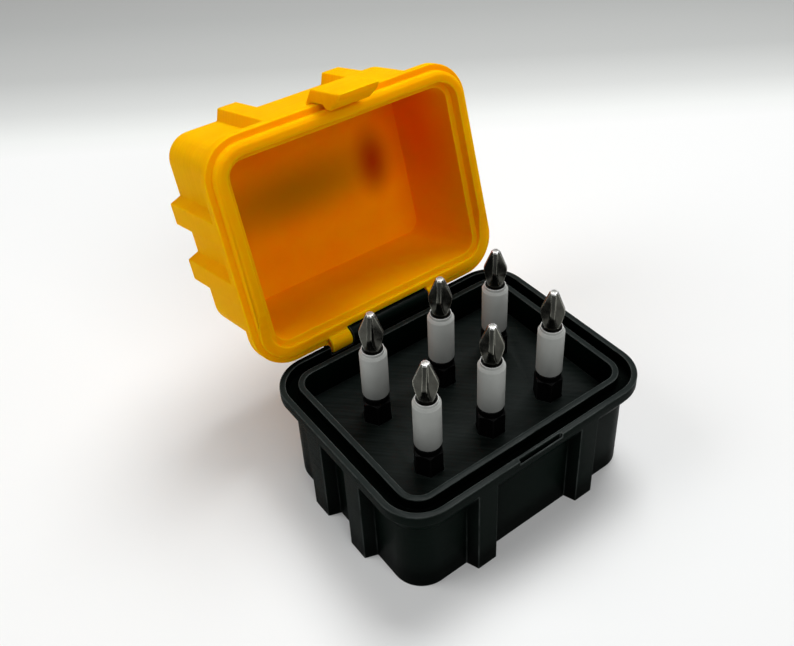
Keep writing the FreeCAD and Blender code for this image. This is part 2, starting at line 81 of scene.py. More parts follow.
# How far a flute's bottom is from the axis in mm, at these shares of the tip's height
FLUTE_SHARES = [
    (0.02, 2.35), (0.10, 1.72), (0.20, 1.27), (0.32, 0.98), (0.46, 0.82), (0.64, 0.75), (1.12, 0.72),
]
# Height at which the bits stand in the base, and their places on the tray in mm
BIT_SEAT = 2.05 * MM
BIT_PLACES = {
    "back_left": (-18.4, 8.4),
    "back_middle": (1.3, 8.4),
    "back_right": (18.4, 8.4),
    "front_left": (-18.4, -11.8),
    "front_middle": (0.0, -11.8),
    "front_right": (18.4, -11.8),
}

# Points this close are joined: on a copied node, and after a solid operation; and a copy's shortest edge
CAD_POINT_REACH = 0.000002
SLIVER_REACH = 0.012 * MM
SHORTEST_EDGE = 0.12 * MM

# Fine marks of the finishes, in metres
LAYER_HEIGHT = 0.0002
LAYER_STRETCH = (6, 6, 2300)
LAYER_BUMP = 0.00006
RASTER_PITCH = 0.45 * MM
RASTER_STRETCH = (1600, 60, 60)
RASTER_BUMP = 0.00005
GRINDING_STRETCH = (150, 150, 5200)
GRINDING_BUMP = 0.000008
GRAIN_BUMP = 0.00002
PLASTIC_GRAIN = 1800.0
SLEEVE_GRAIN = 3200.0
# Reach of the worn edges and their painted highlight
WEAR_AND_HIGHLIGHT_REACH = 0.35 * MM
# Reach of the painted shade in the base's corners and recesses
CORNER_SHADE_REACH = 8 * MM

# Colours as linear red, green and blue; a finish varies between its two shades
BASE_SHADES = ((0.0002, 0.0022, 0.0013, 1), (0.0010, 0.0042, 0.0028, 1))
# Painted shade: the base's colour in corners and recesses, where nearby walls shut out light
BASE_PAINTED_CORNER_SHADE = (0.0004, 0.0012, 0.0008, 1)
# Painted sheen: paler colour on open faces of the base that look up
BASE_PAINTED_SHEEN = (0.0150, 0.0190, 0.0180, 1)
# Rubbed colours here and below: worn edges, made paler also as a painted highlight
BASE_RUBBED_AND_LIT = (0.085, 0.096, 0.092, 1)
BASE_DUST = (0.20, 0.20, 0.19, 1)
TRAY_SHADES = ((0.0020, 0.0037, 0.0030, 1), (0.0064, 0.0090, 0.0080, 1))
TRAY_STREAK = (0.0128, 0.0164, 0.0152, 1)
TRAY_RUBBED_AND_LIT = (0.030, 0.036, 0.034, 1)
TRAY_DUST = (0.16, 0.16, 0.155, 1)
LID_SHADES = ((0.92, 0.390, 0.0008, 1), (1.0, 0.450, 0.001, 1))
LID_LAYER = (0.86, 0.335, 0.0008, 1)
LID_RUBBED_AND_LIT = (1.0, 0.66, 0.004, 1)
# Painted shade: the cavity's walls and roof are a deeper, redder orange, as weak bounced light makes them
PAINTED_CAVITY_SHADE_TONES = ((0.99, 0.32, 0.0005, 1), (1.0, 0.40, 0.0006, 1))
SLEEVE_SHADES = ((0.35, 0.36, 0.34, 1), (0.40, 0.41, 0.39, 1))
SLEEVE_RUBBED_AND_LIT = (0.85, 0.86, 0.84, 1)
TIP_SHADES = ((0.040, 0.040, 0.035, 1), (0.078, 0.078, 0.067, 1))
END_SHADES = ((0.24, 0.24, 0.225, 1), (0.34, 0.34, 0.32, 1))
SHANK_SHADES = ((0.0012, 0.0012, 0.0012, 1), (0.0024, 0.0024, 0.0024, 1))
PIN_SHADES = ((0.42, 0.42, 0.43, 1), (0.52, 0.52, 0.53, 1))
# How much paler steel is where it is rubbed and given a painted highlight
STEEL_RUBBED_AND_LIT = 5.0

# On the closed lid, from the hinge line: the middle of its cavity and how far that reaches
CAVITY_MIDDLE = Vector((0, -29.2, 0)) * MM
CAVITY_HALF = (30.9 * MM, 23.35 * MM, 26.95 * MM)
# Painted shade in the cavity, a red-dark wall and a dark band and spot on the roof: middle and half lengths in mm,
# and colour
PAINTED_SHADE_RED_WALL = ((30.8, -38, 16), (14, 30, 26), (1.0, 0.16, 0.0004, 1))
PAINTED_SHADE_ROOF_BAND = ((-4, -31, 26.8), (52, 15, 12), (0.46, 0.19, 0.0006, 1))
PAINTED_SHADE_ROOF_SPOT = ((20.5, -31, 26.8), (8, 14, 9), (0.42, 0.050, 0.0004, 1))

# Floor: its colour, which way is away from the camera, and the painted shade that greys it from so far off in metres
FLOOR_SIZE = 6
FLOOR_COLOUR = (0.785, 0.79, 0.785, 1)
FLOOR_GLOW = 0.07
FLOOR_AWAY = (0.5464, 0.8375, 0)
FLOOR_PAINTED_FALLOFF = [
    (0.165, 1.0), (0.178, 0.94), (0.200, 0.75), (0.232, 0.585), (0.262, 0.54), (0.290, 0.49), (0.330, 0.46),
]

# Soft lamps: name, place and side in metres, and power
SOFTBOXES = (
    ("softbox_overhead", (0.27, 0.19, 0.75), 0.40, 4.9),
    ("softbox_left", (-0.55, 0.30, 0.60), 0.44, 2.4),
    ("softbox_in_front", (-0.06, -0.78, 0.76), 0.62, 3.9),
)
LIT_PLACE = (0, 0.01, 0.03)
# Strength of the world as it lights the object, and as it is seen behind the floor
WORLD_COLOUR = (0.97, 1.0, 1.02, 1)
WORLD_LIGHT = 0.10
WORLD_SEEN = 0.44

# Camera, solved from the photograph
CAMERA_PLACE = (-0.10432, -0.13012, 0.19013)
CAMERA_TURN = (0.930427, 0.016388, -0.666731)
CAMERA_LENS = 43.547
CAMERA_SHIFT = (-0.05607, -0.09213)


# Selecting and finishing

def only(piece):
    """Leaves just this piece selected and active."""
    bpy.ops.object.select_all(action="DESELECT")
    piece.select_set(True)
    bpy.context.view_layer.objects.active = piece


def start_editing(piece):
    """Opens the piece's mesh."""
    only(piece)
    bpy.ops.object.mode_set(mode="EDIT")


def stop_editing():
    """Closes the mesh that is open."""
    bpy.ops.object.mode_set(mode="OBJECT")


def apply_place(piece):
    """Puts the piece's place, turn and scale into its mesh."""
    only(piece)
    bpy.ops.object.transform_apply(location=True, rotation=True, scale=True)


def round_edges(piece, radius, steps=3, from_angle=28, clamp=True):
    """Rounds the edges that are sharper than an angle."""
    only(piece)
    bevel = piece.modifiers.new("rounded", "BEVEL")
    bevel.width = radius
    bevel.segments = steps
    bevel.limit_method = "ANGLE"
    bevel.angle_limit = radians(from_angle)
    bevel.use_clamp_overlap = clamp
    bpy.ops.object.modifier_apply(modifier=bevel.name)


def smooth(piece, angle=35):
    """Shades the piece smoothly, but for edges sharper than an angle."""
    only(piece)
    bpy.ops.object.shade_smooth_by_angle(angle=radians(angle))


def put_on(piece, body, slot, material, *nodes):
    """Rides the piece on its body, gives it its finish and hides the nodes it stands for."""
    piece.data.materials.clear()
    piece.data.materials.append(material)
    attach(piece, body)
    if nodes:
        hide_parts(*nodes)


# Shader nodes

def add(tree, kind, links=(), **settings):
    """A new node with its settings; links pairs its input names with sockets or values."""
    node = tree.nodes.new(kind)
    for key, setting in settings.items():
        setattr(node, key, setting)
    for key, source in dict(links).items():
        if isinstance(source, bpy.types.NodeSocket):
            tree.links.new(source, node.inputs[key])
        else:
            node.inputs[key].default_value = source
    return node


def calc(tree, operation, *values):
    """The result of a sum with single values."""
    return add(tree, "ShaderNodeMath", dict(enumerate(values)), operation=operation).outputs[0]


def vector_calc(tree, operation, *values):
    """The result of a sum with vectors, a single value where the sum gives one."""
    node = add(tree, "ShaderNodeVectorMath", dict(enumerate(values)), operation=operation)
    return node.outputs["Value" if operation in ("DOT_PRODUCT", "LENGTH") else "Vector"]


def parts_of(tree, vector):
    """The X, Y and Z of a vector."""
    return add(tree, "ShaderNodeSeparateXYZ", {0: vector}).outputs


def mix(tree, factor, first, second, blend="MIX"):
    """Two colours mixed by a factor."""
    node = add(tree, "ShaderNodeMix", {0: factor, 6: first, 7: second}, data_type="RGBA", blend_type=blend)
    return node.outputs[2]


def ranged(tree, value, low=0.0, high=1.0, start=0.0, end=1.0, **settings):
    """Brings a value between start and end to between low and high."""
    return add(tree, "ShaderNodeMapRange", {"Value": value, "From Min": start, "From Max": end, "To Min": low,
                                            "To Max": high}, **settings).outputs[0]


def noise(tree, vector, scale, detail, **more):
    """Cloudy noise between 0 and 1."""
    links = {"Vector": vector, "Scale": scale, "Detail": detail, **more}
    return add(tree, "ShaderNodeTexNoise", links).outputs[0]


def drawn_noise(tree, vector, stretch, detail):
    """Noise that is drawn out along an axis."""
    stretched = add(tree, "ShaderNodeMapping", {"Vector": vector, "Scale": stretch})
    return noise(tree, stretched.outputs[0], 1.0, detail)


def bump(tree, shader, height, distance, strength=1.0, under=None):
    """Bumps the shader's surface, on top of another bump where that is given."""
    links = {"Height": height, "Distance": distance, "Strength": strength}
    if under is not None:
        links["Normal"] = under
    node = add(tree, "ShaderNodeBump", links)
    tree.links.new(node.outputs[0], shader.inputs["Normal"])
    return node.outputs[0]


# Shader groups

def shader_group(name, inputs, outputs):
    """An empty group with its named sockets; returns it with its input and output nodes."""
    tree = bpy.data.node_groups.new(name, "ShaderNodeTree")
    for label, kind, start in inputs:
        socket = tree.interface.new_socket(name=label, in_out="INPUT", socket_type=kind)
        if start is not None:
            socket.default_value = start
    for label, kind in outputs:
        tree.interface.new_socket(name=label, in_out="OUTPUT", socket_type=kind)
    return tree, tree.nodes.new("NodeGroupInput"), tree.nodes.new("NodeGroupOutput")


def build_layer_group():
    """Fine layers along Z, each a little different, as a printed wall shows them."""
    tree, given, result = shader_group(
        "printed_layers",
        [("Vector", "NodeSocketVector", None), ("Layer Height", "NodeSocketFloat", LAYER_HEIGHT)],
        [("Height", "NodeSocketFloat"), ("Mask", "NodeSocketFloat")],
    )
    height = parts_of(tree, given.outputs["Vector"])["Z"]
    layers = calc(tree, "DIVIDE", height, given.outputs["Layer Height"])
    wave = calc(tree, "SINE", calc(tree, "MULTIPLY", layers, 2 * pi))
    uneven = drawn_noise(tree, given.outputs["Vector"], LAYER_STRETCH, 2.0)
    both = calc(tree, "MULTIPLY_ADD", wave, 0.25, uneven)
    tree.links.new(both, result.inputs["Height"])
    tree.links.new(uneven, result.inputs["Mask"])
    return tree


def build_wear_and_highlight_group():
    """A mask that is 1 along outer edges, broken up by noise: worn edges that also carry a painted highlight."""
    tree, given, result = shader_group(
        "edge_wear_and_highlight",
        [("Vector", "NodeSocketVector", None), ("Reach", "NodeSocketFloat", WEAR_AND_HIGHLIGHT_REACH)],
        [("Mask", "NodeSocketFloat")],
    )
    geometry = add(tree, "ShaderNodeNewGeometry")
    rounded = add(tree, "ShaderNodeBevel", {"Radius": given.outputs["Reach"]}, samples=4)
    alike = vector_calc(tree, "DOT_PRODUCT", rounded.outputs[0], geometry.outputs["Normal"])
    edge = ranged(tree, alike, start=0.998, end=0.955)
    outer = ranged(tree, geometry.outputs["Pointiness"], start=0.48, end=0.505)
    patches = noise(tree, given.outputs["Vector"], 260.0, 3.0)
    broken = ranged(tree, patches, low=0.25, start=0.30, end=0.62)
    mask = calc(tree, "MULTIPLY", calc(tree, "MULTIPLY", edge, outer), broken)
    tree.links.new(mask, result.inputs["Mask"])
    return tree


def build_mottle_group():
    """Slow and fine variation of a colour between two shades."""
    tree, given, result = shader_group(
        "mottle",
        [("Vector", "NodeSocketVector", None), ("Shade A", "NodeSocketColor", (0, 0, 0, 1)),
         ("Shade B", "NodeSocketColor", (1, 1, 1, 1)), ("Scale", "NodeSocketFloat", 60.0)],
        [("Color", "NodeSocketColor"), ("Mask", "NodeSocketFloat")],
    )
    clouds = noise(tree, given.outputs["Vector"], given.outputs["Scale"], 5.0, Roughness=0.6)
    firm = ranged(tree, clouds, start=0.32, end=0.68)
    tree.links.new(mix(tree, firm, given.outputs["Shade A"], given.outputs["Shade B"]), result.inputs["Color"])
    tree.links.new(firm, result.inputs["Mask"])
    return tree


def build_grain_group():
    """Fine grain for a bump, and a mask with a few tiny specks."""
    tree, given, result = shader_group(
        "fine_grain",
        [("Vector", "NodeSocketVector", None), ("Scale", "NodeSocketFloat", PLASTIC_GRAIN)],
        [("Height", "NodeSocketFloat"), ("Specks", "NodeSocketFloat")],
    )
    grain = noise(tree, given.outputs["Vector"], given.outputs["Scale"], 2.0)
    cells = add(tree, "ShaderNodeTexVoronoi", {"Vector": given.outputs["Vector"], "Scale": 110.0})
    specks = ranged(tree, cells.outputs["Distance"], start=0.018, end=0.010)
    tree.links.new(grain, result.inputs["Height"])
    tree.links.new(specks, result.inputs["Specks"])
    return tree


LAYERS = build_layer_group()
WEAR_AND_HIGHLIGHT = build_wear_and_highlight_group()
MOTTLE = build_mottle_group()
GRAIN = build_grain_group()


def grouped(tree, group, place, **links):
    """A group's node on these coordinates, with its other inputs; returns its outputs."""
    node = tree.nodes.new("ShaderNodeGroup")
    node.node_tree = group
    tree.links.new(place, node.inputs["Vector"])
    for key, setting in links.items():
        node.inputs[key.replace("_", " ")].default_value = setting
    return node.outputs


def mottled(tree, place, shades, scale):
    """A finish's two shades in clouds of a scale."""
    return grouped(tree, MOTTLE, place, Shade_A=shades[0], Shade_B=shades[1], Scale=scale)


def rub_and_light_edges(tree, place, colour, rubbed_and_lit):
    """The colour, with another along the edges: wear, and a painted highlight on them."""
    return mix(tree, grouped(tree, WEAR_AND_HIGHLIGHT, place, Reach=WEAR_AND_HIGHLIGHT_REACH)["Mask"], colour, rubbed_and_lit)


# Materials

def new_material(name, **shader):
    """A material whose shader has these constant settings; returns it with its tree, shader and coordinates."""
    material = bpy.data.materials.new(name)
    material.use_nodes = True
    tree = material.node_tree
    principled = tree.nodes["Principled BSDF"]
    for key, setting in shader.items():
        principled.inputs[key.replace("_", " ")].default_value = setting
    place = add(tree, "ShaderNodeTexCoord").outputs["Object"]
    return material, tree, principled, place


def give_finish(tree, shader, colour, unevenness, smoothest, roughest):
    """Links the colour, and a roughness that follows the unevenness."""
    tree.links.new(colour, shader.inputs["Base Color"])
    tree.links.new(ranged(tree, unevenness, smoothest, roughest), shader.inputs["Roughness"])


def black_plastic():
    """Satin black of the lower case: fine layers, pale rubbed edges with a painted highlight, painted shade in
    corners, a painted sheen on faces that look up, and a little dust.
    """
    material, tree, shader, place = new_material("black_plastic", IOR=1.04, Coat_Roughness=0.22)
    tone = mottled(tree, place, BASE_SHADES, scale=45.0)
    # Painted shade: darker colour, and less coat, where ambient occlusion finds walls near
    open_air = add(tree, "ShaderNodeAmbientOcclusion", {"Distance": CORNER_SHADE_REACH}, samples=4)
    shade = ranged(tree, open_air.outputs["AO"], start=0.74, end=0.97)
    shaded = mix(tree, shade, BASE_PAINTED_CORNER_SHADE, tone["Color"])
    tree.links.new(ranged(tree, shade, 0.0, 0.045), shader.inputs["Coat Weight"])
    # Painted sheen: open faces that look up are paler, less so where painted shade falls
    facing = parts_of(tree, add(tree, "ShaderNodeNewGeometry").outputs["Normal"])
    upward = ranged(tree, facing["Z"], high=0.9, start=0.75)
    sheen_topped = mix(tree, calc(tree, "MULTIPLY", upward, shade), shaded, BASE_PAINTED_SHEEN)
    layers = grouped(tree, LAYERS, place, Layer_Height=LAYER_HEIGHT)
    grain = grouped(tree, GRAIN, place, Scale=PLASTIC_GRAIN)
    rubbed_and_lit = rub_and_light_edges(tree, place, sheen_topped, BASE_RUBBED_AND_LIT)
    dusty = mix(tree, grain["Specks"], rubbed_and_lit, BASE_DUST)
    give_finish(tree, shader, dusty, layers["Mask"], 0.26, 0.42)
    layered = bump(tree, shader, layers["Height"], LAYER_BUMP, 0.6)
    bump(tree, shader, grain["Height"], GRAIN_BUMP, 0.4, layered)
    return material


def tray_plastic():
    """Black top of the tray, laid down in slanting lines, with paler worn edges that carry a painted highlight."""
    material, tree, shader, place = new_material("tray_plastic", IOR=1.10)
    turned = add(tree, "ShaderNodeMapping", {"Vector": place, "Rotation": (0, 0, radians(-45))}).outputs[0]
    lines = calc(tree, "MULTIPLY", parts_of(tree, turned)["X"], 2 * pi / RASTER_PITCH)
    uneven = drawn_noise(tree, turned, RASTER_STRETCH, 3.0)
    height = calc(tree, "MULTIPLY_ADD", calc(tree, "SINE", lines), 0.22, uneven)
    tone = mottled(tree, place, TRAY_SHADES, scale=55.0)
    streaks = ranged(tree, uneven, high=0.5, start=0.36, end=0.68)
    streaked = mix(tree, streaks, tone["Color"], TRAY_STREAK)
    grain = grouped(tree, GRAIN, place, Scale=PLASTIC_GRAIN)
    rubbed_and_lit = rub_and_light_edges(tree, place, streaked, TRAY_RUBBED_AND_LIT)
    dusty = mix(tree, grain["Specks"], rubbed_and_lit, TRAY_DUST)
    give_finish(tree, shader, dusty, uneven, 0.30, 0.56)
    bump(tree, shader, height, RASTER_BUMP, 0.7)
    return material


def lid_place(tree, place):
    """Coordinates that lie with the closed lid, so that its layers run round it."""
    centred = vector_calc(tree, "SUBTRACT", place, HINGE)
    return add(tree, "ShaderNodeVectorRotate", {"Vector": centred, "Axis": (1, 0, 0), "Angle": LID_OPEN},
               rotation_type="AXIS_ANGLE").outputs[0]


def inside_mask(tree, lying):
    """A mask that is 1 on the walls and roof of the lid's cavity."""
    away = vector_calc(tree, "SUBTRACT", lying, CAVITY_MIDDLE)
    parts = parts_of(tree, vector_calc(tree, "ABSOLUTE", away))
    masks = [calc(tree, "LESS_THAN", parts[axis], limit) for axis, limit in zip("XYZ", CAVITY_HALF)]
    return calc(tree, "MULTIPLY", calc(tree, "MULTIPLY", masks[0], masks[1]), masks[2])


def paint_cavity_shade(tree, lying, inside, under, shade_mark):
    """Lays one of the painted shade marks over a colour, inside the cavity only."""
    middle, half_lengths, colour = shade_mark
    away = vector_calc(tree, "SUBTRACT", lying, Vector(middle) * MM)
    scaled = vector_calc(tree, "MULTIPLY", away, [1 / (length * MM) for length in half_lengths])
    mask = ranged(tree, vector_calc(tree, "LENGTH", scaled), high=inside, start=1.0, end=0.0,
                  interpolation_type="SMOOTHSTEP")
    return mix(tree, mask, under, colour)


def yellow_plastic():
    """Warm yellow of the lid and its tab: fine layers, paler rubbed edges with a painted highlight, and painted
    deeper shade with painted dark marks inside the cavity.
    """
    material, tree, shader, place = new_material(
        "yellow_plastic", IOR=1.03, Subsurface_Weight=0.70, Subsurface_Scale=0.001,
        Subsurface_Radius=(4.0, 1.0, 0.1))
    lying = lid_place(tree, place)
    layers = grouped(tree, LAYERS, lying, Layer_Height=LAYER_HEIGHT)
    lines = ranged(tree, layers["Mask"], high=0.28, start=0.45, end=0.62)
    outer = mix(tree, lines, mottled(tree, lying, LID_SHADES, scale=32.0)["Color"], LID_LAYER)
    # Painted shade: the cavity gets its deeper orange, then the red wall, roof band and roof spot over it
    inside = inside_mask(tree, lying)
    colour = mix(tree, inside, outer, mottled(tree, lying, PAINTED_CAVITY_SHADE_TONES, scale=40.0)["Color"])
    for shade_mark in (PAINTED_SHADE_RED_WALL, PAINTED_SHADE_ROOF_BAND, PAINTED_SHADE_ROOF_SPOT):
        colour = paint_cavity_shade(tree, lying, inside, colour, shade_mark)
    give_finish(tree, shader, rub_and_light_edges(tree, place, colour, LID_RUBBED_AND_LIT), layers["Mask"], 0.42, 0.56)
    grain = grouped(tree, GRAIN, place, Scale=PLASTIC_GRAIN)
    layered = bump(tree, shader, layers["Height"], LAYER_BUMP, 0.6)
    bump(tree, shader, grain["Height"], GRAIN_BUMP, 0.3, layered)
    return material


def white_plastic():
    """Matte white of the sleeves, slightly soiled in patches, with paler worn edges that carry a painted highlight.
    """
    material, tree, shader, place = new_material("white_plastic", Specular_IOR_Level=0.3)
    tone = mottled(tree, place, SLEEVE_SHADES, scale=120.0)
    give_finish(tree, shader, rub_and_light_edges(tree, place, tone["Color"], SLEEVE_RUBBED_AND_LIT), tone["Mask"], 0.42, 0.55)
    grain = grouped(tree, GRAIN, place, Scale=SLEEVE_GRAIN)
    bump(tree, shader, grain["Height"], GRAIN_BUMP, 0.3)
    return material


def steel(name, shades, smoothest, roughest, metallic=1.0, specular=0.5):
    """Steel with faint grinding marks that run round the piece, and paler rubbed edges that carry a painted
    highlight.
    """
    material, tree, shader, place = new_material(name, Metallic=metallic, Specular_IOR_Level=specular)
    marks = drawn_noise(tree, place, GRINDING_STRETCH, 3.0)
    paler = tuple(min(1.0, STEEL_RUBBED_AND_LIT * part) for part in shades[1])
    rubbed_and_lit = rub_and_light_edges(tree, place, mottled(tree, place, shades, scale=240.0)["Color"], paler)
    give_finish(tree, shader, rubbed_and_lit, marks, smoothest, roughest)
    bump(tree, shader, marks, GRINDING_BUMP, 0.4)
    return material


BLACK = black_plastic()
TRAY = tray_plastic()
YELLOW = yellow_plastic()
WHITE = white_plastic()
TIP_STEEL = steel("tip_steel", TIP_SHADES, 0.16, 0.30)
END_STEEL = steel("bright_steel", END_SHADES, 0.30, 0.44)
SHANK_BLACK = steel("blackened_steel", SHANK_SHADES, 0.34, 0.48, metallic=0.0, specular=0.03)
PIN_STEEL = steel("pin_steel", PIN_SHADES, 0.22, 0.36)


# Shells, tray and hinge rod

def ease_tongue_end(piece):
    """Draws the step where the lid's tongue gets low near the hinge out into a long slope."""
    laid_down = Matrix.Rotation(LID_OPEN, 4, "X") @ Matrix.Translation(-HINGE)
    piece.matrix_world = laid_down
    apply_place(piece)
    start_editing(piece)
    bpy.ops.mesh.select_all(action="DESELECT")
    bpy.ops.mesh.select_mode(type="VERT")
    stop_editing()
    for vertex in piece.data.vertices:
        _, y, z = vertex.co
        vertex.select = TONGUE_STEP_START > y > TONGUE_STEP_END and z < TONGUE_LOW_FACE
    start_editing(piece)
    bpy.ops.transform.resize(value=(1, TONGUE_STRETCH, 1), center_override=(0, TONGUE_STEP_START, 0))
    stop_editing()
    piece.matrix_world = laid_down.inverted()
    apply_place(piece)


def softened_copy(node, name, radius, change=None):
    """A copy of a node's shape, changed where that is given, with its sharp edges rounded."""
    only(frame["nodes"][node])
    bpy.ops.object.duplicate()
    piece = bpy.context.view_layer.objects.active
    bpy.ops.object.parent_clear(type="CLEAR_KEEP_TRANSFORM")
    piece.name = name
    for key in [key for key in piece.keys() if key.startswith("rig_")]:
        del piece[key]
    start_editing(piece)
    bpy.ops.mesh.select_all(action="SELECT")
    bpy.ops.mesh.remove_doubles(threshold=CAD_POINT_REACH)
    bpy.ops.mesh.dissolve_limited(angle_limit=radians(0.6))
    bpy.ops.mesh.dissolve_degenerate(threshold=SHORTEST_EDGE)
    stop_editing()
    if change:
        change(piece)
    round_edges(piece, radius, clamp=False)
    smooth(piece)
    return piece


# Each is given the radius of its edges
put_on(softened_copy("base_shell", "lower_case", 0.17 * MM), "base", "base_plastic", BLACK, "base_shell")
put_on(softened_copy("lid_shell", "upper_case", 0.28 * MM, change=ease_tongue_end), "lid", "lid_plastic", YELLOW,
       "lid_shell")
put_on(softened_copy("latch_tab", "snap_tab", 0.45 * MM), "latch", "lid_plastic", YELLOW, "latch_tab")
put_on(softened_copy("bit_tray", "socket_tray", 0.12 * MM), "base", "tray_plastic", TRAY, "bit_tray")
hinge_rod = softened_copy("hinge_pin", "hinge_rod", 0.15 * MM)
hinge_rod.scale = (HINGE_ROD_SHARE, 1, 1)
apply_place(hinge_rod)
put_on(hinge_rod, "base", "pin_steel", PIN_STEEL, "hinge_pin")


# Bits

def lathe(name, profile, around=64):
    """A turned piece drawn upwards ring by ring; profile pairs radius and height."""
    radius, height = profile[0]
    bpy.ops.object.select_all(action="DESELECT")
    bpy.ops.mesh.primitive_circle_add(vertices=around, radius=radius, location=(0, 0, height))
    piece = bpy.context.object
    piece.name = name
    apply_place(piece)
    start_editing(piece)
    bpy.ops.mesh.select_all(action="SELECT")
    for next_radius, next_height in profile[1:]:
        bpy.ops.mesh.extrude_region_move(TRANSFORM_OT_translate={"value": (0, 0, next_height - height)})
        bpy.ops.transform.resize(value=(next_radius / radius, next_radius / radius, 1), center_override=(0, 0, 0))
        radius, height = next_radius, next_height
    stop_editing()
    return piece


def close_ends(piece):
    """Closes the open rings of a turned piece and turns its faces outwards."""
    start_editing(piece)
    bpy.ops.mesh.select_all(action="DESELECT")
    bpy.ops.mesh.select_mode(type="EDGE")
    bpy.ops.mesh.select_non_manifold(extend=False)
    bpy.ops.mesh.edge_face_add()
    bpy.ops.mesh.select_all(action="SELECT")
    bpy.ops.mesh.normals_make_consistent(inside=False)
    stop_editing()


def cut(piece, tool, operation):
    """A solid operation of the piece with a tool, which is used up."""
    only(piece)
    solid = piece.modifiers.new("cut", "BOOLEAN")
    solid.operation = operation
    solid.solver = "EXACT"
    solid.object = tool
    bpy.ops.object.modifier_apply(modifier=solid.name)
    bpy.data.objects.remove(tool)


def merge_close_points(piece):
    """Joins points between which a solid operation left only slivers."""
    start_editing(piece)
    bpy.ops.mesh.select_all(action="SELECT")
    bpy.ops.mesh.remove_doubles(threshold=SLIVER_REACH)
    bpy.ops.mesh.dissolve_degenerate(threshold=SLIVER_REACH)
    stop_editing()


def make_shank():
    """Hex shank, with the corners turned off where the round collar starts."""
    bpy.ops.object.select_all(action="DESELECT")
    corner = SHANK_FLATS / 2 / cos(pi / 6)
    bpy.ops.mesh.primitive_cylinder_add(vertices=6, radius=corner, depth=SHANK_LENGTH,
                                        location=(0, 0, SHANK_LENGTH / 2), rotation=(0, 0, pi / 6))
    shank = bpy.context.object
    shank.name = "shank"
    apply_place(shank)
    round_edges(shank, 0.16 * MM, steps=2, from_angle=40)
    # A cone meets the hex from above, so that each flat ends in a curve
    cone = lathe("shank_cone", [(6.4 * MM, -1.0 * MM), (6.4 * MM, SHANK_LENGTH - 2.2 * MM),
                                (COLLAR_RADIUS, SHANK_LENGTH), (COLLAR_RADIUS, SHANK_LENGTH + 1.0 * MM)])
    close_ends(cone)
    cut(shank, cone, "INTERSECT")
    ring = lathe("shank_collar", [(COLLAR_RADIUS - 0.05 * MM, SHANK_LENGTH - 1.2 * MM),
                                  (COLLAR_RADIUS, SHANK_LENGTH - 0.3 * MM),
                                  (COLLAR_RADIUS, SLEEVE_LOW - 0.25 * MM),
                                  (COLLAR_RADIUS - 0.25 * MM, SLEEVE_LOW - 0.02 * MM),
                                  (NECK_RADIUS, SLEEVE_LOW - 0.02 * MM)])
    close_ends(ring)
    cut(shank, ring, "UNION")
    merge_close_points(shank)
    smooth(shank, angle=30)
    return shank


def make_flute_tool(quarter):
    """The solid that a flute takes away: a square bar whose inner edge swings out towards the sleeve."""
    rise = BIT_LENGTH - TIP_LOW
    half = 4 * MM
    share, reach = FLUTE_SHARES[0]
    bpy.ops.object.select_all(action="DESELECT")
    bpy.ops.mesh.primitive_plane_add(size=2 * half, rotation=(0, 0, pi / 4))
    tool = bpy.context.object
    apply_place(tool)
    tool.location = (half * 2 ** 0.5 + reach * MM, 0, TIP_LOW + share * rise)
    apply_place(tool)
    start_editing(tool)
    bpy.ops.mesh.select_all(action="SELECT")
    for next_share, next_reach in FLUTE_SHARES[1:]:
        step = ((next_reach - reach) * MM, 0, (next_share - share) * rise)
        bpy.ops.mesh.extrude_region_move(TRANSFORM_OT_translate={"value": step})
        share, reach = next_share, next_reach
    bpy.ops.mesh.select_all(action="SELECT")
    bpy.ops.mesh.normals_make_consistent(inside=False)
    stop_editing()
    tool.rotation_euler = (0, 0, quarter * pi / 2)
    apply_place(tool)
    return tool


def make_tip():
    """Neck and driving tip: a turned body with a ridge at its widest place and four ground flutes."""
    rise = BIT_LENGTH - TIP_LOW
    outline = [(NECK_RADIUS, SLEEVE_LOW), (NECK_RADIUS, TIP_LOW), (2.15 * MM, TIP_LOW + 0.08 * rise),
               (TIP_RADIUS - 0.04 * MM, TIP_LOW + 0.40 * rise), (TIP_RADIUS, TIP_LOW + 0.43 * rise),
               (TIP_RADIUS, TIP_LOW + 0.50 * rise), (TIP_RADIUS - 0.05 * MM, TIP_LOW + 0.53 * rise),
               (1.12 * MM, BIT_LENGTH - 0.35 * MM), (0.84 * MM, BIT_LENGTH)]
    tip = lathe("tip", outline, around=72)
    close_ends(tip)
    for quarter in range(4):
        cut(tip, make_flute_tool(quarter), "DIFFERENCE")
    merge_close_points(tip)
    round_edges(tip, 0.07 * MM, steps=2, from_angle=24)
    smooth(tip, angle=26)
    return tip


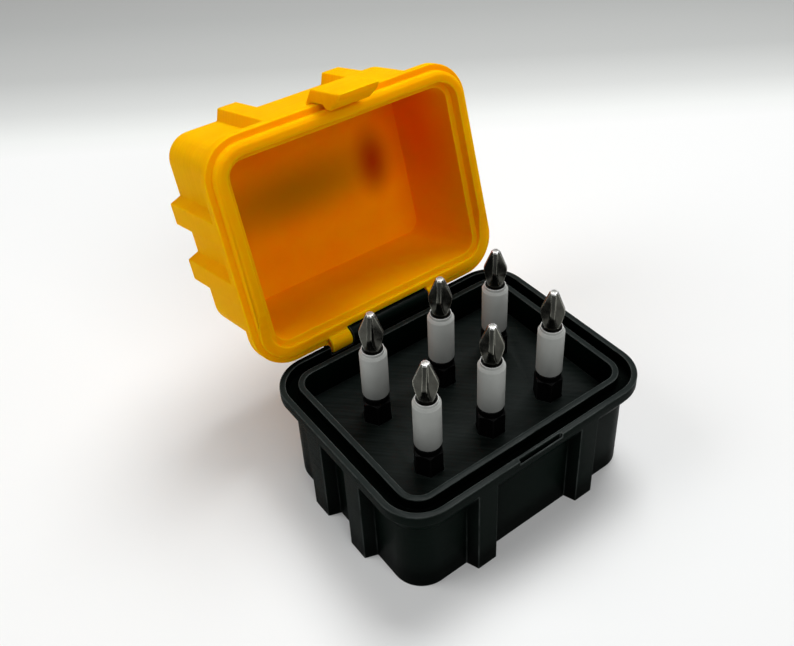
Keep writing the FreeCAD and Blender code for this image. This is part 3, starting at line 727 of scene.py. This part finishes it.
def make_sleeve():
    """Sleeve with a sloped shoulder, a thin lip and an open mouth."""
    bore = NECK_RADIUS + 0.05 * MM
    lip = MOUTH_RADIUS + 0.20 * MM
    foot = SLEEVE_LOW + 0.02 * MM
    mouth_floor = SLEEVE_HIGH - 3.0 * MM
    lower_end = [(bore, foot), (SLEEVE_RADIUS - 0.3 * MM, foot),
                 (SLEEVE_RADIUS - 0.09 * MM, SLEEVE_LOW + 0.11 * MM), (SLEEVE_RADIUS, SLEEVE_LOW + 0.32 * MM)]
    shoulder = [(SLEEVE_RADIUS, SLEEVE_HIGH - 1.42 * MM), (SLEEVE_RADIUS - 0.04 * MM, SLEEVE_HIGH - 1.34 * MM),
                (lip + 0.10 * MM, SLEEVE_HIGH - 0.84 * MM), (lip + 0.02 * MM, SLEEVE_HIGH - 0.78 * MM),
                (lip, SLEEVE_HIGH - 0.66 * MM)]
    top = [(lip, SLEEVE_HIGH - 0.07 * MM), (lip - 0.05 * MM, SLEEVE_HIGH - 0.01 * MM),
           (MOUTH_RADIUS + 0.05 * MM, SLEEVE_HIGH - 0.01 * MM), (MOUTH_RADIUS, SLEEVE_HIGH - 0.07 * MM)]
    inside = [(MOUTH_RADIUS, mouth_floor), (bore, mouth_floor), (bore, foot)]
    sleeve = lathe("sleeve", lower_end + shoulder + top + inside, around=96)
    start_editing(sleeve)
    bpy.ops.mesh.select_all(action="SELECT")
    bpy.ops.mesh.remove_doubles(threshold=0.000001)
    bpy.ops.mesh.normals_make_consistent(inside=False)
    stop_editing()
    smooth(sleeve, angle=34)
    return sleeve


def placed_copy(master, name, x, y):
    """A copy of the piece with its own mesh, set down at a bit's place."""
    only(master)
    bpy.ops.object.duplicate()
    piece = bpy.context.view_layer.objects.active
    piece.name = name
    piece.location = (x * MM, y * MM, BIT_SEAT)
    apply_place(piece)
    return piece


shank_master = make_shank()
tip_master = make_tip()
sleeve_master = make_sleeve()
for place_name, (x, y) in BIT_PLACES.items():
    body = "bit_" + place_name
    shank = placed_copy(shank_master, "shank_" + place_name, x, y)
    put_on(shank, body, "bit_steel", SHANK_BLACK, "bit_" + place_name)
    tip = placed_copy(tip_master, "tip_" + place_name, x, y)
    put_on(tip, body, "bit_steel", TIP_STEEL)
    tip.data.materials.append(END_STEEL)
    for face in tip.data.polygons:
        if face.center.z > BIT_SEAT + BIT_LENGTH - TIP_END_DEPTH:
            face.material_index = 1
    cover = placed_copy(sleeve_master, "cover_" + place_name, x, y)
    put_on(cover, body, "sleeve_plastic", WHITE, "sleeve_" + place_name)
for master in (shank_master, tip_master, sleeve_master):
    bpy.data.objects.remove(master)


# Floor

def seen_rays(tree):
    """1 for rays from the camera and for those that metal or glass send on."""
    path = add(tree, "ShaderNodeLightPath").outputs
    direct = calc(tree, "MAXIMUM", path["Is Camera Ray"], path["Is Glossy Ray"])
    return calc(tree, "MAXIMUM", direct, path["Is Transmission Ray"])


def floor_material():
    """White floor with painted shade that greys it towards the far side, and the object's shadow on it."""
    material = bpy.data.materials.new("floor_white")
    material.use_nodes = True
    tree = material.node_tree
    tree.nodes.clear()
    place = add(tree, "ShaderNodeTexCoord").outputs["Object"]
    away = vector_calc(tree, "DOT_PRODUCT", place, FLOOR_AWAY)
    nearest, farthest = FLOOR_PAINTED_FALLOFF[0][0], FLOOR_PAINTED_FALLOFF[-1][0]
    # Painted shade: the floor's colour and glow grey with distance from the camera
    painted_falloff = add(tree, "ShaderNodeValToRGB", {"Fac": ranged(tree, away, start=nearest, end=farthest)})
    ramp = painted_falloff.color_ramp
    ramp.interpolation = "LINEAR"
    for start, shade in FLOOR_PAINTED_FALLOFF[1:-1]:
        ramp.elements.new((start - nearest) / (farthest - nearest)).color = (shade, 1.012 * shade, shade, 1)
    ramp.elements[0].color = (1, 1, 1, 1)
    last_shade = FLOOR_PAINTED_FALLOFF[-1][1]
    ramp.elements[-1].color = (last_shade, last_shade, 0.99 * last_shade, 1)
    lit = add(tree, "ShaderNodeBsdfDiffuse", {"Color": mix(tree, 1.0, painted_falloff.outputs[0], FLOOR_COLOUR, "MULTIPLY")})
    glow = add(tree, "ShaderNodeEmission", {"Color": painted_falloff.outputs[0], "Strength": FLOOR_GLOW})
    both = add(tree, "ShaderNodeAddShader", {0: lit.outputs[0], 1: glow.outputs[0]})
    chosen = add(tree, "ShaderNodeMixShader", {0: seen_rays(tree), 1: lit.outputs[0], 2: both.outputs[0]})
    add(tree, "ShaderNodeOutputMaterial", {"Surface": chosen.outputs[0]})
    return material


bpy.ops.object.select_all(action="DESELECT")
bpy.ops.mesh.primitive_plane_add(size=FLOOR_SIZE)
floor = bpy.context.object
floor.name = "floor"
floor.data.materials.append(floor_material())


# Light and camera

def soft_light(name, place, side, power):
    """A square soft lamp that points at the case."""
    data = bpy.data.lights.new(name, "AREA")
    data.shape = "RECTANGLE"
    data.size = data.size_y = side
    data.energy = power
    lamp = bpy.data.objects.new(name, data)
    bpy.context.scene.collection.objects.link(lamp)
    lamp.location = place
    lamp.rotation_euler = (Vector(LIT_PLACE) - Vector(place)).to_track_quat("-Z", "Y").to_euler()


for softbox in SOFTBOXES:
    soft_light(*softbox)

world = bpy.data.worlds.new("studio")
bpy.context.scene.world = world
world.use_nodes = True
world_tree = world.node_tree
backdrop = world_tree.nodes["Background"]
backdrop.inputs["Color"].default_value = WORLD_COLOUR
world_tree.links.new(ranged(world_tree, seen_rays(world_tree), WORLD_LIGHT, WORLD_SEEN), backdrop.inputs["Strength"])

camera_data = bpy.data.cameras.new("camera")
camera_data.sensor_width = 36
camera_data.lens = CAMERA_LENS
camera_data.shift_x, camera_data.shift_y = CAMERA_SHIFT
camera_data.clip_start = 0.005
camera = bpy.data.objects.new("camera", camera_data)
bpy.context.scene.collection.objects.link(camera)
camera.location = CAMERA_PLACE
camera.rotation_euler = CAMERA_TURN
bpy.context.scene.camera = camera
bpy.context.scene.view_settings.view_transform = "Standard"
